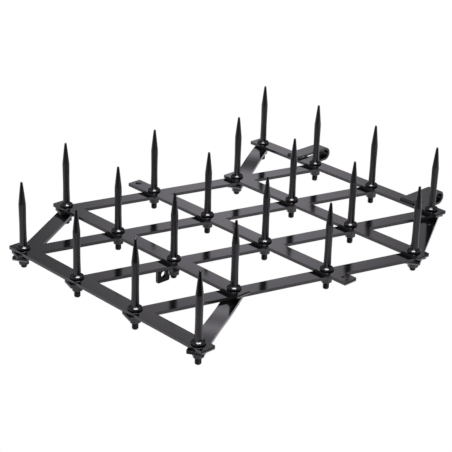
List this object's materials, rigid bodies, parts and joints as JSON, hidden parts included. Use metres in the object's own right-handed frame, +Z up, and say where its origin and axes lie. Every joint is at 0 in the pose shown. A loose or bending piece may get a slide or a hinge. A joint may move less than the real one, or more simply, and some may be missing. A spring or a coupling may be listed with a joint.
{
  "type": "drag harrow",
  "caption": "Spike-tooth drag harrow: flat-bar lattice bolted together by its spikes, with J-shaped tow hooks and an angle bracket, lying spikes up.",
  "frame": {"origin": "middle of the base of the overall bounding box; the base is the lower edge of the angle bracket", "axes": "+X from the first row to the towed row that carries the tow hooks, +Y along the rows from spike 4 to spike 1, +Z up with the spikes pointing up"},
  "size_m": [0.8738, 0.656, 0.1967],
  "materials": {
    "bar_black": "black enamel, semi-gloss",
    "spike_black": "black enamel, semi-gloss",
    "nut_black": "black finish, satin",
    "hook_black": "black enamel, semi-gloss"
  },
  "bodies": {
    "root": {"angle_bracket": "bar_black", "corner_brace_1": "bar_black", "corner_brace_2": "bar_black", "corner_brace_3": "bar_black", "corner_brace_4": "bar_black", "cross_bar_1": "bar_black", "cross_bar_2": "bar_black", "cross_bar_3": "bar_black", "cross_bar_4": "bar_black", "nut_a1": "nut_black", "nut_a2": "nut_black", "nut_a3": "nut_black", "nut_a4": "nut_black", "nut_b1": "nut_black", "nut_b2": "nut_black", "nut_b3": "nut_black", "nut_b4": "nut_black", "nut_c1": "nut_black", "nut_c2": "nut_black", "nut_c3": "nut_black", "nut_c4": "nut_black", "nut_d1": "nut_black", "nut_d2": "nut_black", "nut_d3": "nut_black", "nut_d4": "nut_black", "nut_e1": "nut_black", "nut_e2": "nut_black", "nut_e3": "nut_black", "nut_e4": "nut_black", "row_bar_a": "bar_black", "row_bar_b": "bar_black", "row_bar_c": "bar_black", "row_bar_d": "bar_black", "row_bar_e": "bar_black", "spike_a1": "spike_black", "spike_a2": "spike_black", "spike_a3": "spike_black", "spike_a4": "spike_black", "spike_b1": "spike_black", "spike_b2": "spike_black", "spike_b3": "spike_black", "spike_b4": "spike_black", "spike_c1": "spike_black", "spike_c2": "spike_black", "spike_c3": "spike_black", "spike_c4": "spike_black", "spike_d1": "spike_black", "spike_d2": "spike_black", "spike_d3": "spike_black", "spike_d4": "spike_black", "spike_e1": "spike_black", "spike_e2": "spike_black", "spike_e3": "spike_black", "spike_e4": "spike_black", "tow_hook_1": "hook_black", "tow_hook_2": "hook_black"}
  },
  "joints": []
}
